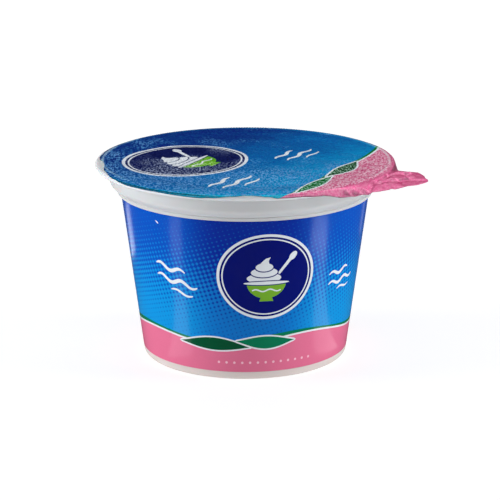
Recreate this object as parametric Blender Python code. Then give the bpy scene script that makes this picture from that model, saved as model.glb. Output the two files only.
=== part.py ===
"""Sealed pot of yogurt: a turned plastic pot, the printed sleeve round it and a foil lid with a pull tab.

Metres, +Z up. The origin is the centre of the foot, on the surface the pot stands on, and the pot's
front looks along -Y. The pot is shut, so it is solid, with nothing modelled inside.
"""

import math

import bmesh
import bpy
from mathutils import Vector

# Driving dimensions of the pot.
RIM_R = 0.0475
RIM_TOP_Z = 0.0626
FLANGE_T = 0.0015
COLLAR_TOP_R = 0.0430
COLLAR_LOW_R = 0.0426
SHOULDER_R = 0.0025
WALL_FOOT_R = 0.03255
WALL_TAPER = 0.1316
FOOT_R = 0.0313
FOOT_WIDTH = 0.0026
BASE_RECESS = 0.0012
BASE_PAD_R = 0.0070
SEAL_WIDTH = 0.0052
TOP_RECESS = 0.0010

# The printed sleeve lies in a shallow recess of the wall, flush with the plastic above and below it.
LABEL_LOW_Z = 0.0027
LABEL_TOP_Z = 0.0526
LABEL_T = 0.0003
GAP = 0.0003

# The foil lid: a disc whose one square corner, rounded at its tip, is the pull tab. The foil sits a little
# to the tab's side of the pot, its front edge is bowed out over the rim, and a nick at the left shows it.
FOIL_T = 0.0003
FOIL_R = 0.0471
FOIL_SHIFT = 0.0007
FOLD_R = RIM_R + GAP + FOIL_T
TAB_HEADING = math.radians(-27)
TAB_CORNER_R = 0.010
TANGENT_ANGLE = math.radians(45)
BOW_ANGLE = math.radians(44)
BOW_HALF_WIDTH = math.radians(26)
BOW = 0.0013
LID_SAG = 0.0005
BEAD_R = 0.0447
BEAD_HEIGHT = 0.00018
BEAD_WIDTH = 0.0006
NICK_ANGLE = math.radians(146)
NICK_HALF_WIDTH = math.radians(13)
NICK_DEPTH = 0.0015

# How far the foil beyond the rim is bent down, in degrees, and how much of its width the creases leave,
# by degrees round from the tab's middle line, back side first.
FOLD_TABLE = (
    (-60, 80, 1.0),
    (-30, 80, 0.95),
    (-20, 66, 0.85),
    (-15, 38, 0.55),
    (-12, 17, 0.62),
    (-9, 0, 0.78),
    (-4, 0, 0.86),
    (1, 0, 1.0),
    (7, 1, 1.0),
    (12, 6, 1.0),
    (17, 11, 1.0),
    (20, 21, 1.0),
    (23, 35, 1.0),
    (28, 64, 1.0),
    (36, 80, 1.0),
    (60, 80, 1.0),
)

# Creases pressed into the tab: two ends as (distance from the pot's axis, degrees round from the tab's
# middle line), then height and half width. A negative height is a valley.
TAB_CREASES = (
    ((0.0495, -17), (0.0505, 9), -0.0011, 0.0024),
    ((0.0500, 8), (0.0620, 2), 0.0008, 0.0016),
    ((0.0485, 14), (0.0540, 18), 0.0005, 0.0012),
    ((0.0480, 20), (0.0560, 10), -0.0006, 0.0012),
    ((0.0540, -6), (0.0590, -1), -0.0006, 0.0014),
    ((0.0485, -4), (0.0560, -7), 0.0007, 0.0013),
)

SEGMENTS = 96
LID_RINGS = (0.010, 0.022, 0.032, 0.038, 0.0405, 0.0425, 0.0438, 0.0444, 0.0447, 0.0450)
TAB_RINGS = 5
TAB_STEP = math.radians(2.25)
DISC_STEP = math.radians(5.0)
TAB_REACH = math.radians(54)


def clear_scene():
    for obj in list(bpy.data.objects):
        bpy.data.objects.remove(obj)


def material(name, colour, roughness, metallic=0.0):
    """A Principled material of one finish."""
    made = bpy.data.materials.new(name)
    made.use_nodes = True
    shader = made.node_tree.nodes["Principled BSDF"]
    shader.inputs["Base Color"].default_value = (*colour, 1)
    shader.inputs["Roughness"].default_value = roughness
    shader.inputs["Metallic"].default_value = metallic
    made.diffuse_color = (*colour, 1)
    return made


def add_object(name, bm, finish, sharp_degrees=35):
    """The bmesh as a named object with its faces pointing out and its round parts shaded smooth."""
    bmesh.ops.recalc_face_normals(bm, faces=bm.faces)
    mesh = bpy.data.meshes.new(name)
    bm.to_mesh(mesh)
    bm.free()
    mesh.shade_smooth()
    mesh.set_sharp_from_angle(angle=math.radians(sharp_degrees))
    mesh.materials.append(finish)
    obj = bpy.data.objects.new(name, mesh)
    bpy.context.scene.collection.objects.link(obj)
    return obj


def arc(centre, radius, start, end, steps):
    """Points (radius from the axis, height) on an arc, with its angles in degrees from outward to up."""
    angles = [math.radians(start + (end - start) * i / steps) for i in range(steps + 1)]
    return [(centre[0] + radius * math.cos(a), centre[1] + radius * math.sin(a)) for a in angles]


def turned(profile, closed=False):
    """A bmesh of the profile, points of (radius, height), spun once round the Z axis."""
    bm = bmesh.new()
    verts = [bm.verts.new((r, 0, z)) for r, z in profile]
    edges = [bm.edges.new(pair) for pair in zip(verts, verts[1:])]
    if closed:
        edges.append(bm.edges.new((verts[-1], verts[0])))
    bmesh.ops.spin(
        bm,
        geom=verts + edges,
        cent=(0, 0, 0),
        axis=(0, 0, 1),
        angle=math.tau,
        steps=SEGMENTS,
        use_merge=True,
    )
    bmesh.ops.remove_doubles(bm, verts=bm.verts, dist=1e-6)
    return bm


def wall_radius(z):
    return WALL_FOOT_R + WALL_TAPER * z


def pot_profile():
    """Outer form of the shut pot, from the middle of its base round to the middle of its top."""
    corner_r = wall_radius(0) - FOOT_R
    recess_r = FOOT_R - FOOT_WIDTH
    pad = [(0, 0), (BASE_PAD_R, 0), (BASE_PAD_R + 2 * BASE_RECESS, BASE_RECESS)]
    base = pad + [(recess_r - 2 * BASE_RECESS, BASE_RECESS), (recess_r, 0)]
    corner = arc((FOOT_R, corner_r), corner_r, -90, -8, 5)
    inset = LABEL_T + GAP
    seat = [
        (wall_radius(LABEL_LOW_Z - GAP), LABEL_LOW_Z - GAP),
        (wall_radius(LABEL_LOW_Z - GAP) - inset, LABEL_LOW_Z - GAP),
        (wall_radius(LABEL_TOP_Z + GAP) - inset, LABEL_TOP_Z + GAP),
        (wall_radius(LABEL_TOP_Z + GAP), LABEL_TOP_Z + GAP),
    ]
    shoulder_z = LABEL_TOP_Z + GAP + 0.0001 + SHOULDER_R
    shoulder = arc((COLLAR_LOW_R - SHOULDER_R, shoulder_z), SHOULDER_R, -90, 0, 5)
    flange_low_z = RIM_TOP_Z - FLANGE_T
    lip_r = FLANGE_T / 2
    lip = arc((RIM_R - lip_r, RIM_TOP_Z - lip_r), lip_r, -90, 90, 6)
    seal_r = RIM_R - SEAL_WIDTH
    top = [(seal_r, RIM_TOP_Z), (seal_r - TOP_RECESS, RIM_TOP_Z - TOP_RECESS), (0, RIM_TOP_Z - TOP_RECESS)]
    return base + corner + seat + shoulder + [(COLLAR_TOP_R, flange_low_z)] + lip + top


def make_pot():
    plastic = material("pot_plastic", (0.80, 0.82, 0.83), 0.38)
    return add_object("pot", turned(pot_profile()), plastic)


def make_label():
    """The printed sleeve: a thin cone of film."""
    printed = material("label_film", (0.004, 0.14, 0.55), 0.30)
    profile = [
        (wall_radius(LABEL_LOW_Z), LABEL_LOW_Z),
        (wall_radius(LABEL_TOP_Z), LABEL_TOP_Z),
        (wall_radius(LABEL_TOP_Z) - LABEL_T, LABEL_TOP_Z),
        (wall_radius(LABEL_LOW_Z) - LABEL_T, LABEL_LOW_Z),
    ]
    return add_object("label", turned(profile, closed=True), printed)


def eased(share):
    """Smooth step from 0 to 1."""
    share = min(1.0, max(0.0, share))
    return share * share * (3 - 2 * share)


def signed_degrees(angle):
    return math.degrees(math.remainder(angle, math.tau))


def fold_at(angle):
    """(bend in radians, share of the width left by creases) of the foil beyond the rim."""
    degrees = signed_degrees(angle)
    if degrees <= FOLD_TABLE[0][0] or degrees >= FOLD_TABLE[-1][0]:
        return math.radians(FOLD_TABLE[0][1]), FOLD_TABLE[0][2]
    for (a, bend_a, left_a), (b, bend_b, left_b) in zip(FOLD_TABLE, FOLD_TABLE[1:]):
        if degrees <= b:
            share = eased((degrees - a) / (b - a))
            return math.radians(bend_a + (bend_b - bend_a) * share), left_a + (left_b - left_a) * share


def outline_radius(angle):
    """Distance of the flat foil's edge from the pot's axis. The angle runs from the tab's middle line."""
    turn = math.remainder(angle, math.tau)
    away = abs(turn)
    tip_centre = (FOIL_R - TAB_CORNER_R) / math.cos(TANGENT_ANGLE)
    side = (FOIL_R - TAB_CORNER_R) * math.tan(TANGENT_ANGLE)
    rounding_ends = TANGENT_ANGLE - math.atan2(side, FOIL_R)
    if away < rounding_ends:
        offset = tip_centre * math.sin(away)
        radius = tip_centre * math.cos(away) + math.sqrt(TAB_CORNER_R**2 - offset**2)
    elif away < TANGENT_ANGLE:
        radius = FOIL_R / math.cos(TANGENT_ANGLE - away)
    else:
        radius = FOIL_R
    nick = math.remainder(angle - NICK_ANGLE, math.tau) / NICK_HALF_WIDTH
    bow = (turn - BOW_ANGLE) / BOW_HALF_WIDTH
    radius += BOW * max(0.0, 1 - bow * bow) - NICK_DEPTH * max(0.0, 1 - nick * nick)
    return radius + FOIL_SHIFT * math.cos(away)


def plan(distance, angle):
    """Point of the lid's plane at a distance from the axis and an angle from the tab's middle line."""
    heading = TAB_HEADING - angle
    return Vector((distance * math.cos(heading), distance * math.sin(heading)))


def crease_height(place):
    """Height that the pressed creases add at a place of the tab."""
    height = 0.0
    for (r_a, deg_a), (r_b, deg_b), rise, half_width in TAB_CREASES:
        a = plan(r_a, math.radians(deg_a))
        b = plan(r_b, math.radians(deg_b))
        along = (b - a).normalized()
        share = min((b - a).length, max(0.0, (place - a).dot(along)))
        away = (place - (a + along * share)).length
        height += rise * max(0.0, 1 - away / half_width)
    return height


def disc_height(distance, angle):
    """Height of the foil over the rim and the pot's mouth, above the sealed level."""
    sag = -LID_SAG * eased((RIM_R - SEAL_WIDTH - distance) / (6 * LID_SAG))
    bead = BEAD_HEIGHT * max(0.0, 1 - abs(distance - BEAD_R) / BEAD_WIDTH)
    inner = min(1.0, distance / RIM_R)
    wave = 0.00018 * inner * math.sin(3 * angle + 0.6) * eased((RIM_R - SEAL_WIDTH - distance) / SEAL_WIDTH)
    return sag + bead + wave


def lid_point(distance, angle):
    """Where a point of the flat foil ends up once the foil is sealed, bent and creased."""
    level = RIM_TOP_Z + GAP
    place = plan(distance, angle)
    beyond = distance - FOLD_R
    if beyond <= 0:
        height = disc_height(distance, angle)
        return Vector((place.x, place.y, level + height))
    bend, left = fold_at(angle)
    reach = plan(FOLD_R + beyond * left * math.cos(bend), angle)
    drop = beyond * left * math.sin(bend)
    pressed = crease_height(place) * eased(beyond / 0.0012)
    return Vector((reach.x, reach.y, level - drop + pressed))


def ring_distances(angle):
    """Distances from the axis of the foil's rings, from the seal outwards to its edge."""
    edge = outline_radius(angle)
    fold = min(FOLD_R, edge - 0.0006)
    start = LID_RINGS[-1]
    before = [start + (fold - start) * 0.5, fold]
    return before + [fold + (edge - fold) * (i + 1) / TAB_RINGS for i in range(TAB_RINGS)]


def lid_angles():
    """Angles of the foil's spokes, close together round the tab."""
    tab_count = round(2 * TAB_REACH / TAB_STEP)
    rest_count = round((math.tau - 2 * TAB_REACH) / DISC_STEP)
    tab = [-TAB_REACH + 2 * TAB_REACH * i / tab_count for i in range(tab_count)]
    rest = [TAB_REACH + (math.tau - 2 * TAB_REACH) * i / rest_count for i in range(rest_count)]
    return tab + rest


def make_lid():
    """The foil as one sheet of rings and spokes, thickened upwards."""
    foil = material("lid_foil", (0.01, 0.17, 0.46), 0.36, metallic=0.5)
    bm = bmesh.new()
    spokes = []
    for angle in lid_angles():
        distances = list(LID_RINGS) + ring_distances(angle)
        spokes.append([bm.verts.new(lid_point(d, angle)) for d in distances])
    middle = bm.verts.new(lid_point(0, 0))
    for spoke, following in zip(spokes, spokes[1:] + spokes[:1]):
        bm.faces.new((middle, following[0], spoke[0]))
        for i in range(len(spoke) - 1):
            bm.faces.new((spoke[i], following[i], following[i + 1], spoke[i + 1]))
    bmesh.ops.triangulate(bm, faces=bm.faces)
    lid = add_object("lid", bm, foil)
    thicken = lid.modifiers.new("foil thickness", "SOLIDIFY")
    thicken.thickness = FOIL_T
    thicken.offset = 1
    return lid


def main():
    clear_scene()
    make_pot()
    make_label()
    make_lid()


main()
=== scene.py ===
"""The looks of a sealed pot of yogurt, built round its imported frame: white pot, printed sleeve, foil lid.

The frame is in metres, +Z up, with its origin on the pot's axis at the floor. The pot's front looks along
-Y, and the lid's pull tab points right and forward. Sizes below are in millimetres and become metres when
a mesh is made. Print is drawn flat, as polygons of ink, and is then laid on the wall or on the lid.
"""

import math

import bmesh
import bpy
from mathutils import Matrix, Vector, noise
from mathutils.geometry import delaunay_2d_cdt


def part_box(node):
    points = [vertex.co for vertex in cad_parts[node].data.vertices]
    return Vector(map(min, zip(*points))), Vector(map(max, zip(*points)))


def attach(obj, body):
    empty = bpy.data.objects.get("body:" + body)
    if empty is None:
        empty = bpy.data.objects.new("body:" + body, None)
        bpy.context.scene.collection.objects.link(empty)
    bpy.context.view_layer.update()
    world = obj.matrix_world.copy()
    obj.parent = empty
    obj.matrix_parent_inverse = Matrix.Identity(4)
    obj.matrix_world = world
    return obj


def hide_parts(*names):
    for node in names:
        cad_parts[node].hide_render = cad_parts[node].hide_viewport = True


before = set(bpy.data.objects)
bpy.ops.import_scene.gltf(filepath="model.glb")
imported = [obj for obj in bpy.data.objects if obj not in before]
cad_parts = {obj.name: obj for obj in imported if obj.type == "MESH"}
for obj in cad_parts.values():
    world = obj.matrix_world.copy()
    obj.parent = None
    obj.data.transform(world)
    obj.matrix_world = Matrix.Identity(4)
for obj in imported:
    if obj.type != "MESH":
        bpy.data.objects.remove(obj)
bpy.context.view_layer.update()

MM = 0.001

# The photograph's view: a square frame of this many pixels, from the front and above.
FRAME_PX = 500
FOCAL_PX = 2187.07
CAMERA_DISTANCE = 703.77
CAMERA_ELEVATION = math.radians(15.659)
CAMERA_AIM = Vector((1.6, 0, 32.94))

# The pot. Radii are from its axis.
RIM_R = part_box("pot")[1].x / MM
WALL_FOOT_R = 32.55
WALL_TAPER = 0.1316
BASE_RECESS = 1.2
BASE_PAD_R = 6.3
BASE_RINGS = (13.0, 18.5, 24.0)
BASE_RING_HALF = 0.8
BASE_RING_RISE = 0.28
FOOT_RING_R = 28.8
FOOT_CORNER_R = 1.6
STEP_R = 40.4
STEP_TOP_Z = 54.3
FLARE_TOP_Z = 57.2
FLARE_STEPS = 12
COLLAR_LOW_R = 43.05
COLLAR_TOP_R = 43.1
FILLET_R = 0.7
FLANGE_LOW_Z = 61.1
FLANGE_TOP_Z = 62.75
MOUTH_R = 42.6
MOUTH_DEPTH = 0.8
POT_SEGMENTS = 256

# The printed sleeve round the wall.
LABEL_LOW_Z = 2.75
LABEL_TOP_Z = 53.0
LABEL_T = 0.3
LABEL_CLEARANCE = 0.03
SEAT_GAP = 0.05
LABEL_SEAM = 100.5
PRINT_R = 36.3
LABEL_COLUMNS = 288
LABEL_ROWS = 20

# Where the sleeve's shapes sit: degrees round to the right of the front, then height.
MEDALLION_AT = (10.5, 34.6)
LEFT_STROKES_AT = (-36, 32.4)
RIGHT_STROKES_AT = (55, 30.4)
WHITE_MARK_AT = (-43.7, 49.8)
SPOTS_AT = (-14, 5.9)
SPOT_COUNT = 13
SPOT_STEP = 4.2
SPOT_R = 0.42

# The green lenses on the wave's edge: degrees round on the wall or millimetres across on the lid, width,
# rise, dip and ink.
WALL_HILLS = ((-16, 25, 2.6, 1.5, "dark_green"), (11, 20, 1.7, 2.4, "green"))
LID_HILLS = ((-19, 26, 1.8, 2.6, "green"), (4, 23, 1.4, 3.8, "dark_green"))

# The foil lid: a disc with one square corner, rounded at its tip, for a pull tab. Angles of the foil run
# from the tab's middle line, which points TAB_HEADING round from +X, and grow towards the pot's front.
FOIL_T = 0.09
FOIL_R = 47.1
FOIL_SHIFT = 0.7
TAB_HEADING = math.radians(-27)
TAB_CORNER_R = 10.0
TANGENT_ANGLE = math.radians(45)
BEND_START_R = 46.95
BEND_LENGTH = 1.0
BEAD_CENTRE = (0.3, 0.6)
BEAD_R = 45.6
BEAD_HEIGHT = 0.28
BEAD_WIDTH = 0.65
BEAD_FRONT_Y = -38.0
BEAD_FADE = 20.0
SEAL_GAP = 0.02
LID_SAG = 0.35
SAG_EASE = 8.0
CREASE_EASE = 1.6
LID_OUTLINE_STEPS = 900
LID_SPOKES = 600
LID_ROW = 0.36

# How far the foil's cut edge runs outside that outline, in millimetres, by degrees round from the tab's
# middle line. It is cut a little out of true: long at the left front, short in two places.
EDGE_TABLE = (
    (32, 0.0),
    (38, 0.57),
    (45, 0.65),
    (51, 0.7),
    (55, 0.1),
    (62, -0.8),
    (67, 0.0),
    (75, 0.8),
    (81, 1.15),
    (90, 1.05),
    (97, 1.0),
    (104, 1.1),
    (112, 1.2),
    (122, 0.8),
    (133, -0.4),
    (145, -1.7),
    (157, 0.0),
)

# How far the foil beyond the rim is bent down, in degrees, and the share of its width that creases leave,
# by degrees round from the tab's middle line, back side first.
FOLD_TABLE = (
    (-60, 80, 1.0),
    (-30, 80, 0.95),
    (-20, 66, 0.85),
    (-15, 36, 0.6),
    (-12, 14, 0.68),
    (-9, 0, 0.8),
    (-4, 0, 0.86),
    (1, 0, 1.0),
    (7, 1, 1.0),
    (12, 6, 1.0),
    (17, 11, 1.0),
    (20, 21, 1.0),
    (23, 35, 1.0),
    (28, 64, 1.0),
    (36, 80, 1.0),
    (60, 80, 1.0),
)

# Creases pressed into the foil at the tab: two ends as (radius, degrees round from the tab's middle
# line), then height and half width. A negative height is a valley.
TAB_CREASES = (
    ((49.0, -18), (50.5, 8), -1.0, 2.4),
    ((50.3, 6), (56.5, 1), 0.75, 1.5),
    ((56.5, 1), (62.0, -1), 0.5, 1.4),
    ((47.4, 4), (54.5, 20), -0.5, 1.0),
    ((47.9, 5), (57.5, 12), 0.35, 1.0),
    ((51.0, -1), (58.6, 7), -0.35, 0.9),
    ((48.5, -4), (56.0, -7), 0.6, 1.3),
    ((54.5, -5), (59.0, -1), -0.45, 1.2),
)

# Height and size of the foil's noise, in millimetres, and the plane of the noise it is read from.
CRUMPLE_HEIGHT = 0.05
CRUMPLE_SIZE = 4.4
CRUMPLE_PLANE = 7.1
SLACK_HEIGHT = 0.16
SLACK_SIZE = 13.0
SLACK_PLANE = 3.3

# Where the lid's shapes sit, as (across, up) from the pot's axis. Up runs away from the tab.
LID_WAVE_UP = -33.0
LID_MEDALLION_AT = (-8.5, 17.0)
LID_LEFT_STROKES_AT = (-27, -9.5)
LID_RIGHT_STROKES_AT = (15, -10.5)

# Inks, as sRGB. The sleeve's blues run from deep in the middles of the front and back, partly print behind
# the medallions and partly painted shade, to the sides, lighter there as painted side light; the lid's run
# towards the tab.
INK_BLUE = ((0, 40, 152), (0, 77, 184))
INK_BLUE_DOTS = ((0, 114, 200), (0, 144, 216))
FILM_COLOURS = {
    "navy": (0, 14, 112),
    "white": (226, 232, 238),
    "pink": (225, 113, 148),
    "blush": (246, 190, 208),
    "green": (0, 122, 84),
    "dark_green": (0, 82, 50),
    "lime": (120, 178, 48),
}
FOIL_BLUE = ((0, 78, 114), (4, 128, 170), (12, 178, 208))
FOIL_COLOURS = {
    "navy": (0, 46, 116),
    "white": (226, 232, 238),
    "pink": (215, 109, 152),
    "blush": (246, 190, 208),
    "green": (0, 138, 84),
    "dark_green": (0, 104, 58),
    "lime": (130, 190, 60),
}
PRINT_ORDER = ("blue",) + tuple(FILM_COLOURS)
# The plastic's whites: the foot's is painted light, lighter and warmer, and the lip's is a painted
# highlight.
PLASTIC_WHITE = (200, 202, 204)
PLASTIC_LIP_HIGHLIGHT = (222, 226, 230)
PLASTIC_FOOT_LIT = (219, 209, 205)
BARE_FOIL = (214, 216, 218)

# How metallic a foil ink is, how far its painted glints spread, how deep its dark specks of painted shade
# are and how wide its light specks of painted highlight, where these differ from the other inks'.
FOIL_METAL_AND_GLINTS = {"pink": (0.77, 0.46, 0.22, 0.05), "bare": (0.9, 0.08, 0.5, 0.0)}
OTHER_METAL_AND_GLINTS = (0.96, 0.08, 0.5, 0.0)

FILM_IOR = 1.35
FOIL_IOR = 1.25

# The sleeve's screen of dots: its two sets of rows, as rows round the wall and for each millimetre up.
SCREEN = ((155, 0.2061), (47, -0.6796))

# The floor, in metres, and the light it gives of itself, as a lit table does: under the pot and far off.
FLOOR_HALF = 8.0
FLOOR_GLOW = 0.71
FLOOR_GLOW_FAR = 0.96
FLOOR_GREYS = ((176, 176, 176), (182, 182, 182))


# Sums


def eased(share):
    """Smooth step from 0 to 1."""
    share = min(1.0, max(0.0, share))
    return share * share * (3 - 2 * share)


def looked_up(table, degrees):
    """What a table holds at an angle, eased between its rows."""
    for before, after in zip(table, table[1:]):
        if degrees <= after[0]:
            share = eased((degrees - before[0]) / (after[0] - before[0]))
            return [a + (b - a) * share for a, b in zip(before[1:], after[1:])]
    return table[-1][1:]


# Materials


def linear(colour):
    """An sRGB colour, 0 to 255, as the linear numbers that shaders take."""
    values = [c / 255 for c in colour]
    return [v / 12.92 if v <= 0.04045 else ((v + 0.055) / 1.055) ** 2.4 for v in values] + [1.0]


class Shader:
    """One material's node tree, with short calls for the nodes it is built from."""

    def __init__(self, name, **constants):
        self.material = bpy.data.materials.new(name)
        self.material.use_nodes = True
        self.tree = self.material.node_tree
        self.shader = self.tree.nodes["Principled BSDF"]
        self.place = self.node("ShaderNodeTexCoord").outputs["Object"]
        for socket, value in constants.items():
            self.shader.inputs[socket.replace("_", " ")].default_value = value

    def node(self, kind, **settings):
        made = self.tree.nodes.new(kind)
        for name, value in settings.items():
            setattr(made, name, value)
        return made

    def feed(self, socket, source):
        if isinstance(source, (int, float)):
            socket.default_value = source
        else:
            self.tree.links.new(source, socket)

    def set(self, name, source):
        self.feed(self.shader.inputs[name], source)

    def math(self, operation, *sources, clamp=False):
        made = self.node("ShaderNodeMath", operation=operation, use_clamp=clamp)
        for socket, source in zip(made.inputs, sources):
            self.feed(socket, source)
        return made.outputs["Value"]

    def noise(self, size, detail=2.0, stretch=(1, 1, 1)):
        """Noise whose features are about size millimetres across."""
        spread = self.node("ShaderNodeMapping")
        spread.inputs["Scale"].default_value = stretch
        self.feed(spread.inputs["Vector"], self.place)
        made = self.node("ShaderNodeTexNoise")
        self.feed(made.inputs["Vector"], spread.outputs["Vector"])
        made.inputs["Scale"].default_value = 1 / (size * MM)
        made.inputs["Detail"].default_value = detail
        return made.outputs["Fac"]

    def cells(self, size):
        """Rounded cells about size millimetres across."""
        made = self.node("ShaderNodeTexVoronoi", feature="SMOOTH_F1")
        self.feed(made.inputs["Vector"], self.place)
        made.inputs["Scale"].default_value = 1 / (size * MM)
        return made.outputs["Distance"]

    def spread(self, source, low, high, from_low=0.0, from_high=1.0):
        """The source's range mapped to another, and held inside it."""
        made = self.node("ShaderNodeMapRange")
        self.feed(made.inputs["Value"], source)
        made.inputs["From Min"].default_value = from_low
        made.inputs["From Max"].default_value = from_high
        made.inputs["To Min"].default_value = low
        made.inputs["To Max"].default_value = high
        return made.outputs["Result"]

    def ramp(self, source, stops):
        """Colours along 0 to 1: stops are (place, sRGB colour)."""
        stops = list(stops)
        made = self.node("ShaderNodeValToRGB")
        made.color_ramp.interpolation = "EASE"
        for _ in stops[2:]:
            made.color_ramp.elements.new(0.5)
        for element, (place, colour) in zip(made.color_ramp.elements, stops):
            element.position = place
            element.color = linear(colour)
        self.feed(made.inputs["Fac"], source)
        return made.outputs["Color"]

    def mix(self, share, first, second, blend="MIX"):
        made = self.node("ShaderNodeMix", data_type="RGBA", blend_type=blend)
        self.feed(made.inputs["Factor"], share)
        for name, source in (("A", first), ("B", second)):
            socket = next(s for s in made.inputs if s.name == name and s.type == "RGBA")
            if isinstance(source, (list, tuple)):
                socket.default_value = source
            else:
                self.feed(socket, source)
        return next(s for s in made.outputs if s.type == "RGBA")

    def bump(self, height, distance, below=None):
        """Relief of the given height, in millimetres, on top of another bump."""
        made = self.node("ShaderNodeBump")
        self.feed(made.inputs["Height"], height)
        made.inputs["Distance"].default_value = distance * MM
        made.inputs["Strength"].default_value = 1.0
        if below is not None:
            self.feed(made.inputs["Normal"], below)
        return made.outputs["Normal"]

    def axes(self):
        """The three object coordinates, in millimetres."""
        parts = self.node("ShaderNodeSeparateXYZ")
        self.feed(parts.inputs["Vector"], self.place)
        return [self.math("DIVIDE", parts.outputs[axis], MM) for axis in "XYZ"]

    def length(self, x, y):
        squares = (self.math("MULTIPLY", side, side) for side in (x, y))
        return self.math("SQRT", self.math("ADD", *squares))


def plastic():
    """White moulded plastic: slightly milky, with a soft uneven gloss and faint flow marks. Its white is
    painted lighter and warmer towards the foot, as painted light, and lighter on the lip, as a painted
    highlight.
    """
    s = Shader(
        "pot_plastic_white",
        Subsurface_Weight=0.12,
        Subsurface_Scale=0.002,
        Specular_IOR_Level=0.4,
    )
    _, _, z = s.axes()
    cloud = s.spread(s.noise(9, detail=3), -0.06, 0.06)
    # Painted light: the white runs lighter and warmer from the collar down to the foot.
    level = s.math("ADD", s.spread(z, 0.0, 1.0, 0, 62), cloud)
    body = s.ramp(level, ((0.0, PLASTIC_FOOT_LIT), (0.9, PLASTIC_WHITE)))
    # Painted highlight: the lip is painted a lighter white.
    lip = s.spread(z, 0.0, 1.0, 60.7, 61.7)
    s.set("Base Color", s.mix(lip, body, linear(PLASTIC_LIP_HIGHLIGHT)))
    s.set("Roughness", s.spread(s.noise(2.5, detail=4), 0.3, 0.44, 0.3, 0.7))
    flow = s.bump(s.noise(14, detail=1, stretch=(1, 1, 0.25)), 0.05)
    s.set("Normal", s.bump(s.noise(0.5, detail=2), 0.004, flow))
    return s.material


def halftone(s, angle, z):
    """Share of light dots on a slanting screen round the wall. They grow until they meet, low down."""
    swing = []
    for turns, rise in SCREEN:
        phase = s.math("ADD", s.math("MULTIPLY", angle, turns), s.math("MULTIPLY", z, rise * math.tau))
        swing.append(s.math("COSINE", phase))
    least = s.spread(z, -2.0, 2.2, 17.5, 50.5)
    share = s.spread(s.math("SUBTRACT", s.math("ADD", *swing), least), 0.0, 1.0, -0.9, 1.1)
    return s.math("MULTIPLY", share, s.spread(z, 1.0, 0.6, 32, 46))


def film_finish(s):
    """Gloss of printed film: nearly even, with the wall's faint waves."""
    s.set("Roughness", s.spread(s.noise(4, detail=3), 0.15, 0.2, 0.3, 0.7))
    waves = s.bump(s.noise(12, detail=1, stretch=(1, 1, 0.3)), 0.02)
    s.set("Normal", s.bump(s.noise(0.5, detail=2), 0.0006, waves))


def film_ink(name, colour):
    """One flat ink on the sleeve, with a trace of press grain."""
    s = Shader("film_" + name, IOR=FILM_IOR)
    darker = [c * 0.93 for c in linear(colour)[:3]] + [1]
    s.set("Base Color", s.mix(s.noise(0.5, detail=3), linear(colour), darker))
    film_finish(s)
    return s.material


def film_blue():
    """The sleeve's field: blue, deepest in the middles of the front and back, partly print behind the
    medallions and partly painted shade, lighter at the sides as painted side light, and azure dots that
    fill it lower down.
    """
    s = Shader("film_blue", IOR=FILM_IOR)
    x, y, z = s.axes()
    angle = s.math("ARCTAN2", x, s.math("MULTIPLY", y, -1))
    from_middle = s.math("SUBTRACT", angle, math.radians(3))
    middle = s.math("COSINE", s.math("MULTIPLY", from_middle, 2))
    # Painted light: the blues deepen towards the middles of the front and back, partly as painted shade,
    # and lighten at the sides as painted side light.
    beside = s.spread(middle, 1.0, 0.0, 0.3, 0.9)
    field = s.ramp(beside, zip((0, 1), INK_BLUE))
    dots = s.ramp(beside, zip((0, 1), INK_BLUE_DOTS))
    s.set("Base Color", s.mix(halftone(s, angle, z), field, dots))
    film_finish(s)
    return s.material


def foil_finish(s):
    """Embossed foil: a fine grain over the foil's slack, flatter where it is bent over the rim."""
    s.set("Roughness", s.spread(s.noise(1.2, detail=4), 0.26, 0.42, 0.3, 0.7))
    x, y, _ = s.axes()
    emboss = s.spread(s.length(x, y), 1.0, 0.2, 45.8, 47.6)
    slack = s.bump(s.noise(5.5, detail=2), 0.16)
    grain = s.bump(s.math("MULTIPLY", s.cells(0.75), emboss), 0.075, slack)
    s.set("Normal", s.bump(s.math("MULTIPLY", s.noise(0.32, detail=2), emboss), 0.03, grain))


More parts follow.
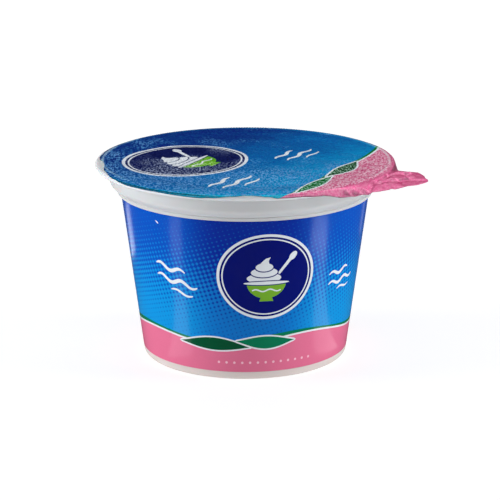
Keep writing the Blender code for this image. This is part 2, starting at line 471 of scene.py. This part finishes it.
def paint_glints(s, colour, lighter, glint_settings=OTHER_METAL_AND_GLINTS):
    """The colour with painted glints of embossed foil: fine light specks of painted highlight and dark
    specks of painted shade, in loose patches.

    The painted glints lie mostly at the front and the left, and there are fewer beyond the rim. Along the
    seal's bead, at the sides, the ink is painted pale, as a painted highlight, and made less metallic.
    """
    metallic, more, depth, wider = glint_settings
    x, y, _ = s.axes()
    # Painted light: the glints are placed mostly at the front and the left, where the light falls.
    nearer = s.math("ADD", y, s.spread(x, -9, 0, -44, -6))
    front = s.spread(nearer, 0.26 + more, -0.2 + more, -34, 14)
    patches = s.spread(s.math("ADD", s.noise(15, detail=3), front), 0.1, 1.0, 0.42, 0.66)
    patches = s.math("MULTIPLY", patches, s.spread(s.length(x, y), 1.0, 0.2, 46.0, 47.5))
    along = (1, 0.5, 1)
    # Light specks: painted glints.
    light = s.spread(s.noise(0.6, detail=3, stretch=along), 0.0, 1.0, 0.47 - wider, 0.58)
    light = s.math("MULTIPLY", light, patches)
    # Dark specks: painted shade in the grain.
    dark = s.spread(s.noise(0.8, detail=3, stretch=along), depth, 0.0, 0.4, 0.5)
    dark = s.math("MULTIPLY", dark, patches)
    deep = s.mix(1.0, colour, (0.6, 0.62, 0.68, 1), "MULTIPLY")
    # Painted highlight: a pale, less metallic line along the seal's bead, at the sides of the lid, broken
    # into patches.
    from_centre = s.length(s.math("SUBTRACT", x, BEAD_CENTRE[0]), s.math("SUBTRACT", y, BEAD_CENTRE[1]))
    bead = s.spread(s.math("ABSOLUTE", s.math("SUBTRACT", from_centre, BEAD_R)), 0.85, 0.0, 0.2, 0.6)
    sides = s.math("MULTIPLY", s.spread(y, 0, 1, -34, -8), s.spread(y, 1, 0.2, 18, 34))
    bead_highlight_patches = s.math("MULTIPLY", s.spread(s.noise(7, detail=3), 0.35, 1.0, 0.35, 0.55), sides)
    bead_highlight = s.math("MULTIPLY", bead, bead_highlight_patches)
    s.set("Metallic", s.math("SUBTRACT", metallic, bead_highlight, clamp=True))
    # The painted glints and the bead's painted highlight both lighten the colour.
    pale = s.math("MAXIMUM", light, bead_highlight)
    return s.mix(pale, s.mix(dark, colour, deep), linear(lighter))


def foil_ink(name, colour):
    """One ink over aluminium foil. The pink one is the most opaque, and has the most painted glints."""
    s = Shader("foil_" + name, IOR=FOIL_IOR, Specular_Tint=foil_tint(colour))
    # Colour of the painted glints.
    lighter = [c + (255 - c) * 0.76 for c in colour]
    s.set("Base Color", paint_glints(s, linear(colour), lighter, FOIL_METAL_AND_GLINTS.get(name, OTHER_METAL_AND_GLINTS)))
    foil_finish(s)
    return s.material


def foil_tint(colour):
    """Tint of the foil's reflections at a low angle."""
    return [0.02 + 0.9 * c for c in linear(colour)[:3]] + [1]


def foil_blue():
    """The lid's field: deep blue far from the tab, teal by the waves."""
    s = Shader("foil_blue", IOR=FOIL_IOR, Specular_Tint=foil_tint((0, 130, 215)))
    x, y, _ = s.axes()
    up = lid_upright()
    height = s.math("ADD", s.math("MULTIPLY", x, up.x), s.math("MULTIPLY", y, up.y))
    clouds = s.spread(s.noise(7, detail=3), -0.08, 0.08)
    height = s.math("ADD", height, s.math("MULTIPLY", y, 0.34))
    down = s.math("ADD", s.spread(height, 1.0, 0.0, -41, 34), clouds)
    field = s.ramp(down, zip((0.0, 0.45, 1.0), FOIL_BLUE))
    # Painted glints in pale blue.
    s.set("Base Color", paint_glints(s, field, (152, 192, 223)))
    foil_finish(s)
    return s.material


def inks(field, ink, colours):
    """The print's materials in PRINT_ORDER."""
    return [field()] + [ink(name, colours[name]) for name in PRINT_ORDER[1:]]


# Flat shapes of the print, as lists of (across, up) points that run anticlockwise


def oval(centre, half_width, half_height, start=0.0, end=360.0, steps=96):
    """Points of an ellipse, or of a stretch of it, by degrees from its right side."""
    count = steps if end - start == 360 else steps + 1
    turns = [math.radians(start + (end - start) * i / steps) for i in range(count)]
    return [(centre[0] + half_width * math.cos(t), centre[1] + half_height * math.sin(t)) for t in turns]


def ribbon(line, half_widths):
    """A stroke along the line's points, as wide at each as half_widths says."""
    left, right = [], []
    for i, (point, half) in enumerate(zip(line, half_widths)):
        before = line[max(0, i - 1)]
        after = line[min(len(line) - 1, i + 1)]
        along = (Vector(after) - Vector(before)).normalized()
        side = Vector((-along.y, along.x)) * half
        left.append((point[0] + side.x, point[1] + side.y))
        right.append((point[0] - side.x, point[1] - side.y))
    return right + left[::-1]


def wavy_stroke(length, rise, waves, thickness, steps=72):
    """A flowing stroke with tapered ends, centred on its middle."""
    line, halves = [], []
    for i in range(steps + 1):
        share = i / steps
        line.append(((share - 0.5) * length, rise * math.sin(math.tau * waves * share)))
        halves.append(thickness / 2 * (0.18 + 0.82 * math.sin(math.pi * share) ** 0.5))
    return ribbon(line, halves)


def hill(width, rise, dip, steps=60):
    """A lens that swells above and below its two pointed ends."""
    shares = [i / steps for i in range(steps + 1)]
    swell = [math.sin(math.pi * i / steps) ** 1.2 for i in range(steps + 1)]
    lower = [(width * (share - 0.5), -dip * out) for share, out in zip(shares, swell)]
    upper = [(width * (0.5 - share), rise * out) for share, out in zip(shares, swell)]
    return lower + upper[1:-1]


def grown(shape, distance):
    """The shape with each point moved outwards."""
    made = []
    for i, point in enumerate(shape):
        along = Vector(shape[(i + 1) % len(shape)]) - Vector(shape[i - 1])
        out = Vector((along.y, -along.x)).normalized() * distance
        made.append((point[0] + out.x, point[1] + out.y))
    return made


def moved(shape, across, up, scale=1.0, turn=0.0, lean=0.0):
    """The shape scaled, turned by degrees, and moved.

    lean raises its right side and lowers its left, by a share of the distance from its middle.
    """
    c = math.cos(math.radians(turn))
    s = math.sin(math.radians(turn))
    turned_points = [(scale * (x * c - y * s), scale * (x * s + y * c)) for x, y in shape]
    return [(across + x, up + y + lean * x) for x, y in turned_points]


def bowl_picture():
    """A bowl with a swirl of yogurt and a spoon, in a frame 2 across and 2 up: list of (ink, shape)."""
    bowl = oval((0, -0.16), 0.60, 0.50, 180, 360)
    foot = [(-0.22, -0.76), (0.22, -0.76), (0.17, -0.62), (-0.17, -0.62)]
    brim = oval((0, -0.16), 0.70, 0.055)
    spoon_line = [(0.22 + 0.5 * i / 12, -0.05 + 0.66 * i / 12) for i in range(13)]
    shapes = [
        ("white", ribbon(spoon_line, [0.035 + 0.015 * i / 12 for i in range(13)])),
        ("white", moved(oval((0, 0), 0.16, 0.095), 0.78, 0.68, turn=53)),
    ]
    for width, height, at in ((0.52, 0.17, 0.0), (0.40, 0.155, 0.19), (0.26, 0.135, 0.36)):
        shapes.append(("navy", grown(oval((-0.08, at), width, height), 0.035)))
        shapes.append(("white", oval((-0.08, at), width, height)))
    peak = [(-0.24, 0.44), (0.07, 0.44), (0.04, 0.56), (0.10, 0.68), (-0.04, 0.64), (-0.14, 0.55)]
    shapes += [("white", peak), ("lime", bowl), ("lime", foot)]
    shapes += [("navy", grown(brim, 0.03)), ("white", brim)]
    stripe = [(-0.44 + 0.88 * i / 24, -0.40 + 0.035 * math.sin(math.tau * 2 * i / 24)) for i in range(25)]
    shapes.append(("white", ribbon(stripe, [0.022] * 25)))
    return shapes


def medallion(half_width, half_height, line):
    """An oval badge with a double white line round a plain bowl picture: list of (ink, shape)."""
    bands = (("white", 0), ("navy", line), ("white", 1.75 * line), ("navy", 2.25 * line))
    shapes = [(ink, oval((0, 0), half_width - inset, half_height - inset)) for ink, inset in bands]
    size = min(half_width, half_height) * 0.72
    return shapes + [(ink, moved(shape, 0, -0.04 * size, scale=size)) for ink, shape in bowl_picture()]


def strokes(rise=0.75):
    """Three flowing white strokes to fill a place beside the medallion."""
    return [
        ("white", moved(wavy_stroke(11, rise, 1.5, 1.15), -1.6, 2.7)),
        ("white", moved(wavy_stroke(15, rise, 2.0, 1.15), 0.4, -1.1)),
        ("white", moved(wavy_stroke(8, 0.7 * rise, 1.0, 0.8), 2.2, -4.3)),
    ]


def placed(shapes, across, up, turn=0.0, lean=0.0, scale=1.0):
    return [(ink, moved(shape, across, up, scale, turn, lean)) for ink, shape in shapes]


# Print on the wall, unrolled: across in millimetres round to the right of the front, up from the floor


def wall_across(degrees):
    return math.radians(degrees) * PRINT_R


def on_front(place, turn=0):
    """A place given as (degrees, height), turned round the wall and unrolled."""
    return wall_across(place[0] + turn), place[1]


def wave_height(degrees):
    """Height of the pink field's edge, which swells four times round the wall."""
    turn = math.radians(degrees)
    return 12.6 + 1.35 * math.cos(4 * turn - 2.4) + 0.45 * math.sin(2 * turn + 0.6)


def band_below(extra, step=1.5):
    """The whole stretch of the wall below the wave's edge, raised by extra, past the sleeve's ends."""
    count = round(360 / step)
    start = LABEL_SEAM - 360
    edge = []
    for i in range(-2, count + 3):
        degrees = start + i * step
        raised = extra(degrees) if callable(extra) else extra
        edge.append((wall_across(degrees), wave_height(degrees) + raised))
    low = LABEL_LOW_Z - 2
    return [(edge[0][0], low), (edge[-1][0], low)] + edge[::-1]


def green_rise(degrees):
    return 1.65 + 0.4 * math.sin(math.radians(4 * degrees) + 1.2)


def wall_print():
    """Every shape of the sleeve, in the order it is printed, front and back alike."""
    shapes = [("green", band_below(green_rise)), ("white", band_below(0.6)), ("pink", band_below(0))]
    for turn in (0, -180):
        for degrees, width, rise, dip, ink in WALL_HILLS:
            place = (degrees, wave_height(degrees + turn) + 0.1)
            lens = moved(hill(width, rise, dip), *on_front(place, turn), lean=-0.02)
            shapes += [("white", grown(lens, 0.5)), (ink, lens)]
        shapes += placed(medallion(15.2, 14.0, 0.85), *on_front(MEDALLION_AT, turn))
        shapes += placed(strokes(), *on_front(LEFT_STROKES_AT, turn), lean=-0.16)
        shapes += placed(strokes(), *on_front(RIGHT_STROKES_AT, turn), lean=0.1, scale=0.85)
        for i in range(SPOT_COUNT):
            spot = oval((0, 0), SPOT_R, SPOT_R, steps=16)
            place = (SPOTS_AT[0] + SPOT_STEP * i, SPOTS_AT[1])
            shapes.append(("blush", moved(spot, *on_front(place, turn))))
    # A small white mark near the top of the sleeve, left of the front.
    white_mark = ribbon([(-0.5, 0.45), (0, 0.05), (0.5, -0.4)], [0.1, 0.22, 0.12])
    return shapes + [("white", moved(white_mark, *on_front(WHITE_MARK_AT)))]


# Print on the lid, flat in the frame's own plan


def lid_upright():
    """Direction that is up in the lid's print: away from the tab."""
    return Vector((-math.cos(TAB_HEADING), -math.sin(TAB_HEADING)))


def lid_place(point):
    """A point of the lid's print, (across, up), in plan."""
    up = lid_upright()
    return (point[0] * up.y + point[1] * up.x, -point[0] * up.x + point[1] * up.y)


def lid_wave(along):
    """Height of the lid's pink field's edge, which climbs at both ends."""
    ends = 2.2 * max(0.0, along / 38) ** 3 + 2.5 * max(0.0, (-along - 30) / 8.2) ** 2
    return LID_WAVE_UP + 0.7 * math.cos((along - 3) / 7.5) + ends


def lid_below(raised):
    """The lid's stretch on the tab's side of the wave's edge, raised by less at its front end."""
    reach = 60
    edge = [(a, lid_wave(a) + raised * eased((a + 36) / 9)) for a in range(-reach, reach + 1)]
    return [(-reach, -80), (reach, -80)] + edge[::-1]


def lid_print():
    """Every shape of the lid's print, in the order it is printed, in plan."""
    shapes = [("green", lid_below(1.7)), ("white", lid_below(0.75)), ("pink", lid_below(0))]
    for at, width, rise, dip, ink in LID_HILLS:
        lens = moved(hill(width, rise, dip), at, lid_wave(at) + 0.3)
        shapes += [("white", grown(lens, 0.6)), (ink, lens)]
    shapes += placed(medallion(22.0, 19.5, 1.05), *LID_MEDALLION_AT)
    shapes += placed(strokes(0.45), *LID_LEFT_STROKES_AT, scale=1.25)
    shapes += placed(strokes(0.45), *LID_RIGHT_STROKES_AT, scale=1.15)
    return [(ink, [lid_place(point) for point in shape]) for ink, shape in shapes]


# Meshes


def cut_print(outline, places, shapes):
    """A flat sheet cut along every shape of its print: its points, and (corners, ink) of its triangles.

    places are further points that the triangles use. Where shapes lie on each other, the last one shows.
    """
    points, faces = [], []
    for polygon in [outline] + [shape for _, shape in shapes]:
        faces.append(list(range(len(points), len(points) + len(polygon))))
        points += polygon
    points += places
    inside_only = 1
    found = delaunay_2d_cdt([Vector(p) for p in points], [], faces, inside_only, 1e-4, True)
    triangles = []
    for corners, owners in zip(found[2], found[5]):
        if 0 in owners:
            top = max(owners)
            ink = shapes[top - 1][0] if top else PRINT_ORDER[0]
            triangles.append((corners, PRINT_ORDER.index(ink)))
    return found[0], triangles


def add_piece(name, mesh, node):
    """A piece of the pot, which stands for one node of the frame."""
    piece = bpy.data.objects.new(name, mesh)
    bpy.context.scene.collection.objects.link(piece)
    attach(piece, "root")
    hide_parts(node)
    return piece


def arc(centre, radius, start, end, steps):
    """Points (radius from the axis, height) on an arc, by degrees from outward to up."""
    turns = [math.radians(start + (end - start) * i / steps) for i in range(steps + 1)]
    return [(centre[0] + radius * math.cos(t), centre[1] + radius * math.sin(t)) for t in turns]


def wall_radius(z):
    return WALL_FOOT_R + WALL_TAPER * z


def base_profile():
    """Underside: a pad in the middle, three low rings in the recess, and the foot ring."""
    points = [
        (0, 0),
        (BASE_PAD_R, 0),
        (BASE_PAD_R + 0.7, 0.15),
        (BASE_PAD_R + 2.3, BASE_RECESS - 0.15),
        (BASE_PAD_R + 3.1, BASE_RECESS),
    ]
    for ring_r in BASE_RINGS:
        for share in (-1, -0.5, 0, 0.5, 1):
            rise = BASE_RING_RISE * math.cos(math.pi / 2 * share)
            points.append((ring_r + BASE_RING_HALF * share, BASE_RECESS - rise))
    points += [
        (FOOT_RING_R - 2.6, BASE_RECESS),
        (FOOT_RING_R - 1.8, BASE_RECESS - 0.2),
        (FOOT_RING_R - 0.6, 0.25),
        (FOOT_RING_R, 0),
    ]
    corner_centre = (wall_radius(FOOT_CORNER_R) - FOOT_CORNER_R, FOOT_CORNER_R)
    return points + arc(corner_centre, FOOT_CORNER_R, -90, -7, 10)


def pot_profile():
    """Outer form of the pot, from the middle of its base round to its rim and its covered mouth."""
    seat_low = LABEL_LOW_Z - SEAT_GAP
    seat_top = LABEL_TOP_Z + SEAT_GAP
    depth = LABEL_T + LABEL_CLEARANCE
    seat = [
        (wall_radius(seat_low), seat_low),
        (wall_radius(seat_low) - depth, seat_low),
        (wall_radius(seat_top) - depth, seat_top),
        (wall_radius(seat_top), seat_top),
    ]
    step = [
        (STEP_R - 0.1, seat_top + 0.05),
        (STEP_R + 0.08, seat_top + 0.12),
        (STEP_R + 0.2, seat_top + 0.3),
        (STEP_R + 0.42, STEP_TOP_Z - 0.25),
        (STEP_R + 0.4, STEP_TOP_Z - 0.08),
        (STEP_R + 0.28, STEP_TOP_Z),
    ]
    flare = []
    flare_r = STEP_R + 0.3
    flare_z = STEP_TOP_Z + 0.08
    for i in range(FLARE_STEPS + 1):
        share = i / FLARE_STEPS
        radius = flare_r + (COLLAR_LOW_R - flare_r) * math.sin(math.pi / 2 * share)
        flare.append((radius, flare_z + (FLARE_TOP_Z - flare_z) * share))
    fillet = arc((COLLAR_TOP_R + FILLET_R, FLANGE_LOW_Z - FILLET_R), FILLET_R, 180, 90, 6)
    lip_r = (FLANGE_TOP_Z - FLANGE_LOW_Z) / 2
    lip = arc((RIM_R - lip_r, FLANGE_LOW_Z + lip_r), lip_r, -90, 90, 14)
    mouth_z = FLANGE_TOP_Z - MOUTH_DEPTH
    mouth = [(MOUTH_R, FLANGE_TOP_Z), (MOUTH_R - 0.6, mouth_z), (0, mouth_z)]
    return base_profile() + seat + step + flare + fillet + lip + mouth


def make_pot():
    """The moulded pot, turned from its profile."""
    bm = bmesh.new()
    verts = [bm.verts.new((r * MM, 0, z * MM)) for r, z in pot_profile()]
    edges = [bm.edges.new(pair) for pair in zip(verts, verts[1:])]
    bmesh.ops.spin(
        bm,
        geom=verts + edges,
        cent=(0, 0, 0),
        axis=(0, 0, 1),
        angle=math.tau,
        steps=POT_SEGMENTS,
        use_merge=True,
    )
    bmesh.ops.remove_doubles(bm, verts=bm.verts, dist=1e-6)
    bmesh.ops.recalc_face_normals(bm, faces=bm.faces)
    mesh = bpy.data.meshes.new("pot_body")
    bm.to_mesh(mesh)
    bm.free()
    mesh.shade_smooth()
    mesh.set_sharp_from_angle(angle=math.radians(40))
    mesh.materials.append(plastic())
    add_piece("pot_body", mesh, "pot")


def on_wall(flat, inset=0.0):
    """A point of the unrolled print on the sleeve's outer face, or inset below it, in metres."""
    turn = flat[0] / PRINT_R
    radius = wall_radius(flat[1]) + LABEL_CLEARANCE - inset
    return Vector((radius * math.sin(turn), -radius * math.cos(turn), flat[1])) * MM


def wall_normal(place):
    out = Vector((place.x, place.y, 0)).normalized()
    return Vector((out.x, out.y, -WALL_TAPER)).normalized()


def make_label():
    """The sleeve: its print cut into the outer face, with a thickness inwards."""
    left = wall_across(LABEL_SEAM - 360)
    right = wall_across(LABEL_SEAM)
    columns = [left + (right - left) * i / LABEL_COLUMNS for i in range(LABEL_COLUMNS + 1)]
    rows = [LABEL_LOW_Z + (LABEL_TOP_Z - LABEL_LOW_Z) * i / LABEL_ROWS for i in range(LABEL_ROWS + 1)]
    outline = [(x, rows[0]) for x in columns] + [(right, z) for z in rows[1:]]
    outline += [(x, rows[-1]) for x in columns[-2::-1]] + [(left, z) for z in rows[-2:0:-1]]
    places = [(x, z) for x in columns[1:-1] for z in rows[1:-1]]
    points, triangles = cut_print(outline, places, wall_print())

    bm = bmesh.new()
    verts = [bm.verts.new(on_wall(p)) for p in points]
    for corners, ink in triangles:
        face = bm.faces.new([verts[i] for i in corners])
        face.material_index = ink
    bmesh.ops.delete(bm, geom=[v for v in bm.verts if not v.link_faces], context="VERTS")
    bmesh.ops.remove_doubles(bm, verts=bm.verts, dist=1e-7)
    thin = bmesh.ops.extrude_edge_only(bm, edges=[e for e in bm.edges if e.is_boundary])
    for vert in (g for g in thin["geom"] if isinstance(g, bmesh.types.BMVert)):
        inwards = 1 - LABEL_T / wall_radius(vert.co.z / MM)
        vert.co.x *= inwards
        vert.co.y *= inwards
    bmesh.ops.bridge_loops(bm, edges=[e for e in bm.edges if e.is_boundary])
    bmesh.ops.recalc_face_normals(bm, faces=bm.faces)
    mesh = bpy.data.meshes.new("label_sleeve")
    bm.to_mesh(mesh)
    bm.free()
    mesh.shade_smooth()
    smooth_as_cone(mesh)
    for made in inks(film_blue, film_ink, FILM_COLOURS):
        mesh.materials.append(made)
    add_piece("label_sleeve", mesh, "label")


def smooth_as_cone(mesh):
    """Gives the outer face the normals of a true cone, so that its highlights run straight."""
    normals = []
    for face in mesh.polygons:
        out = Vector((face.center.x, face.center.y, 0)).normalized()
        outer = face.normal.dot(out) > 0.7
        for index in face.vertices:
            normals.append(wall_normal(mesh.vertices[index].co) if outer else face.normal.copy())
    mesh.normals_split_custom_set(normals)


def outline_radius(turn):
    """Distance of the flat foil's edge from the pot's axis, at an angle from the tab's middle line."""
    turn = math.remainder(turn, math.tau)
    away = abs(turn)
    tip_centre = (FOIL_R - TAB_CORNER_R) / math.cos(TANGENT_ANGLE)
    side = (FOIL_R - TAB_CORNER_R) * math.tan(TANGENT_ANGLE)
    rounding_ends = TANGENT_ANGLE - math.atan2(side, FOIL_R)
    if away < rounding_ends:
        offset = tip_centre * math.sin(away)
        radius = tip_centre * math.cos(away) + math.sqrt(TAB_CORNER_R**2 - offset**2)
    elif away < TANGENT_ANGLE:
        radius = FOIL_R / math.cos(TANGENT_ANGLE - away)
    else:
        radius = FOIL_R
    return radius + FOIL_SHIFT * math.cos(away) + looked_up(EDGE_TABLE, math.degrees(turn))[0]


def plan(distance, turn):
    heading = TAB_HEADING - turn
    return Vector((distance * math.cos(heading), distance * math.sin(heading)))


def crease_height(place):
    """Height that the pressed creases add at a place of the tab."""
    height = 0.0
    for (r_a, deg_a), (r_b, deg_b), rise, half_width in TAB_CREASES:
        a = plan(r_a, math.radians(deg_a))
        b = plan(r_b, math.radians(deg_b))
        along = (b - a).normalized()
        share = min((b - a).length, max(0.0, (place - a).dot(along)))
        away = (place - (a + along * share)).length
        height += rise * max(0.0, 1 - away / half_width)
    return height


def foil_height(place):
    """Height of the foil's own relief over the rim and the mouth: seal bead, slack and sag."""
    mouth = eased((MOUTH_R - place.length) / SAG_EASE)
    from_bead = abs((place - Vector(BEAD_CENTRE)).length - BEAD_R)
    bead = BEAD_HEIGHT * eased(1 - from_bead / BEAD_WIDTH)
    bead *= eased((place.y - BEAD_FRONT_Y) / BEAD_FADE)
    slack = noise.noise(Vector((place.x / SLACK_SIZE, place.y / SLACK_SIZE, SLACK_PLANE)))
    return bead + mouth * (SLACK_HEIGHT * slack - LID_SAG)


def on_lid(flat):
    """Where a point of the flat foil ends up, in metres, once it is sealed, bent and creased."""
    place = Vector(flat)
    distance = place.length
    turn = TAB_HEADING - math.atan2(place.y, place.x)
    level = FLANGE_TOP_Z + SEAL_GAP
    beyond = distance - BEND_START_R
    if beyond <= 0:
        return Vector((place.x, place.y, level + foil_height(place))) * MM
    bend, left = looked_up(FOLD_TABLE, math.degrees(math.remainder(turn, math.tau)))
    bend = math.radians(bend)
    beyond *= left
    bent = min(beyond, BEND_LENGTH)
    straight = beyond - bent
    out, drop = bent, 0.0
    if bend > 0.01:
        reached = bend * bent / BEND_LENGTH
        out = BEND_LENGTH / bend * math.sin(reached)
        drop = BEND_LENGTH / bend * (1 - math.cos(reached))
    out += straight * math.cos(bend)
    drop += straight * math.sin(bend)
    free = eased((distance - RIM_R) / CREASE_EASE)
    crumple = noise.noise(Vector((place.x / CRUMPLE_SIZE, place.y / CRUMPLE_SIZE, CRUMPLE_PLANE)))
    rise = free * (crease_height(place) + CRUMPLE_HEIGHT * crumple)
    reach = place.normalized() * (BEND_START_R + out)
    return Vector((reach.x, reach.y, level - drop + rise)) * MM


def ring_places(radius, spacing):
    """Points about as far apart as the spacing on a circle round the pot's axis."""
    count = max(6, round(math.tau * radius / spacing))
    turns = [math.tau * i / count for i in range(count)]
    return [(radius * math.cos(turn), radius * math.sin(turn)) for turn in turns]


def lid_places():
    """Points that carry the foil's relief: rings over the mouth, closer at the seal, rows beyond it."""
    places = [(0.0, 0.0)]
    for radius in range(1, 43):
        places += ring_places(float(radius), 1.0)
    for step in range(1, 16):
        places += ring_places(42.4 + 0.3 * step, 0.9)
    for i in range(LID_SPOKES):
        turn = math.tau * i / LID_SPOKES
        edge = outline_radius(turn)
        radius = BEND_START_R
        while radius < edge - 0.15:
            places.append(tuple(plan(radius, turn)))
            radius += LID_ROW
    edge_radius = [outline_radius(TAB_HEADING - math.atan2(y, x)) for x, y in places]
    return [p for p, edge in zip(places, edge_radius) if math.hypot(*p) < edge - 0.12]


def make_lid():
    """The foil: its print cut into the upper face, bare aluminium below."""
    turns = [-math.tau * i / LID_OUTLINE_STEPS for i in range(LID_OUTLINE_STEPS)]
    outline = [tuple(plan(outline_radius(turn), turn)) for turn in turns]
    points, triangles = cut_print(outline, lid_places(), lid_print())
    bm = bmesh.new()
    verts = [bm.verts.new(on_lid(p)) for p in points]
    for corners, ink in triangles:
        face = bm.faces.new([verts[i] for i in corners])
        face.material_index = ink
    bmesh.ops.delete(bm, geom=[v for v in bm.verts if not v.link_faces], context="VERTS")
    mesh = bpy.data.meshes.new("lid_foil")
    bm.to_mesh(mesh)
    bm.free()
    mesh.shade_smooth()
    for made in inks(foil_blue, foil_ink, FOIL_COLOURS) + [foil_ink("bare", BARE_FOIL)]:
        mesh.materials.append(made)
    lid = add_piece("lid_foil", mesh, "lid")
    thicken = lid.modifiers.new("foil thickness", "SOLIDIFY")
    thicken.thickness = FOIL_T * MM
    thicken.offset = 1
    thicken.material_offset = len(PRINT_ORDER)


# Stage, light and camera


def add_floor():
    mesh = bpy.data.meshes.new("floor")
    corners = [(x * FLOOR_HALF, y * FLOOR_HALF, 0) for x, y in ((-1, -1), (1, -1), (1, 1), (-1, 1))]
    mesh.from_pydata(corners, [], [(0, 1, 2, 3)])
    s = Shader("floor_white", Roughness=0.7, Specular_IOR_Level=0.1)
    s.shader.inputs["Emission Color"].default_value = (1, 1, 1, 1)
    x, y, _ = s.axes()
    s.set("Emission Strength", s.spread(s.length(x, y), FLOOR_GLOW, FLOOR_GLOW_FAR, 150, 700))
    s.set("Base Color", s.ramp(s.noise(400, detail=1), zip((0.3, 0.7), FLOOR_GREYS)))
    mesh.materials.append(s.material)
    floor = bpy.data.objects.new("floor", mesh)
    bpy.context.scene.collection.objects.link(floor)
    floor.visible_glossy = False


def add_panel(name, width, height, watts, place, facing, shown):
    """A rectangular light at a place, in metres. It is shown in gloss, on matt surfaces, or in both."""
    data = bpy.data.lights.new(name, "AREA")
    data.shape = "RECTANGLE"
    data.size = width
    data.size_y = height
    data.energy = watts
    light = bpy.data.objects.new(name, data)
    light.location = place
    light.rotation_euler = facing
    light.visible_glossy = shown in ("gloss", "both")
    light.visible_diffuse = shown in ("matt", "both")
    bpy.context.scene.collection.objects.link(light)


def heading(azimuth, elevation=0.0):
    """Direction from the pot, azimuth in degrees to the right of the front."""
    turn, rise = math.radians(azimuth), math.radians(elevation)
    return Vector((math.sin(turn) * math.cos(rise), -math.cos(turn) * math.cos(rise), math.sin(rise)))


def add_softbox(name, azimuth, elevation, distance, width, height, watts, shown="matt"):
    """A softbox that faces the pot."""
    away = heading(azimuth, elevation)
    place = Vector((0, 0, 0.035)) + away * distance
    add_panel(name, width, height, watts, place, (-away).to_track_quat("-Z", "Y").to_euler(), shown)


def add_glow(name, start, end, width, watts):
    """A bright stretch of the floor between two places, in metres, which shows in gloss alone."""
    along = Vector(end) - Vector(start)
    middle = (Vector(start) + Vector(end)) / 2
    turn = math.atan2(along.y, along.x) - math.pi / 2
    place = (middle.x, middle.y, 0.0005)
    add_panel(name, width, along.length, watts, place, (math.pi, 0, turn), "gloss")


def add_light():
    add_softbox("left_box", -85, 14, 0.7, 0.3, 0.3, 3.7)
    add_softbox("right_box", 85, 14, 0.7, 0.3, 0.3, 3.3)
    add_softbox("top_box", 180, 60, 1.4, 1.5, 1.5, 5, shown="both")
    add_softbox("front_box", 0, 52, 1.3, 0.9, 0.9, 2.3, shown="both")
    add_softbox("front_card", -8, 18, 1.0, 1.6, 1.0, 3.2, shown="gloss")
    add_softbox("right_card", 80, 30, 1.0, 1.6, 1.2, 6.2, shown="gloss")
    add_softbox("corner_card", 132, 46, 1.0, 0.5, 0.7, 1.0, shown="gloss")
    add_softbox("left_card", -80, 12, 1.0, 1.8, 0.8, 3.0, shown="gloss")
    add_softbox("back_box", 180, 34, 1.0, 1.4, 0.95, 3.4, shown="gloss")
    add_glow("edge_glow", (-0.084, 0.074), (-0.122, 0.118), 0.034, 0.0085)
    add_glow("left_glow", (-0.0935, -0.055), (-0.123, -0.067), 0.024, 0.005)
    add_glow("right_glow", (0.096, -0.0455), (0.129, -0.054), 0.036, 0.0125)
    add_glow("left_low_glow", (-0.029, -0.0275), (-0.0935, -0.0555), 0.015, 0.0041)
    add_glow("right_low_glow", (0.035, -0.0165), (0.098, -0.0385), 0.018, 0.0047)
    add_glow("right_edge_glow", (0.096, 0.096), (0.118, 0.136), 0.014, 0.0011)
    world = bpy.data.worlds.new("studio")
    world.use_nodes = True
    background = world.node_tree.nodes["Background"]
    background.inputs["Color"].default_value = (0.93, 0.95, 1.0, 1)
    background.inputs["Strength"].default_value = 0.06
    bpy.context.scene.world = world


def add_camera():
    data = bpy.data.cameras.new("camera")
    data.sensor_width = 36
    data.lens = data.sensor_width * FOCAL_PX / FRAME_PX
    camera = bpy.data.objects.new("camera", data)
    back = Vector((0, -math.cos(CAMERA_ELEVATION), math.sin(CAMERA_ELEVATION)))
    camera.location = (CAMERA_AIM + back * CAMERA_DISTANCE) * MM
    camera.rotation_euler = (math.pi / 2 - CAMERA_ELEVATION, 0, 0)
    bpy.context.scene.collection.objects.link(camera)
    bpy.context.scene.camera = camera


make_pot()
make_label()
make_lid()
add_floor()
add_light()
add_camera()
bpy.context.scene.view_settings.view_transform = "Standard"
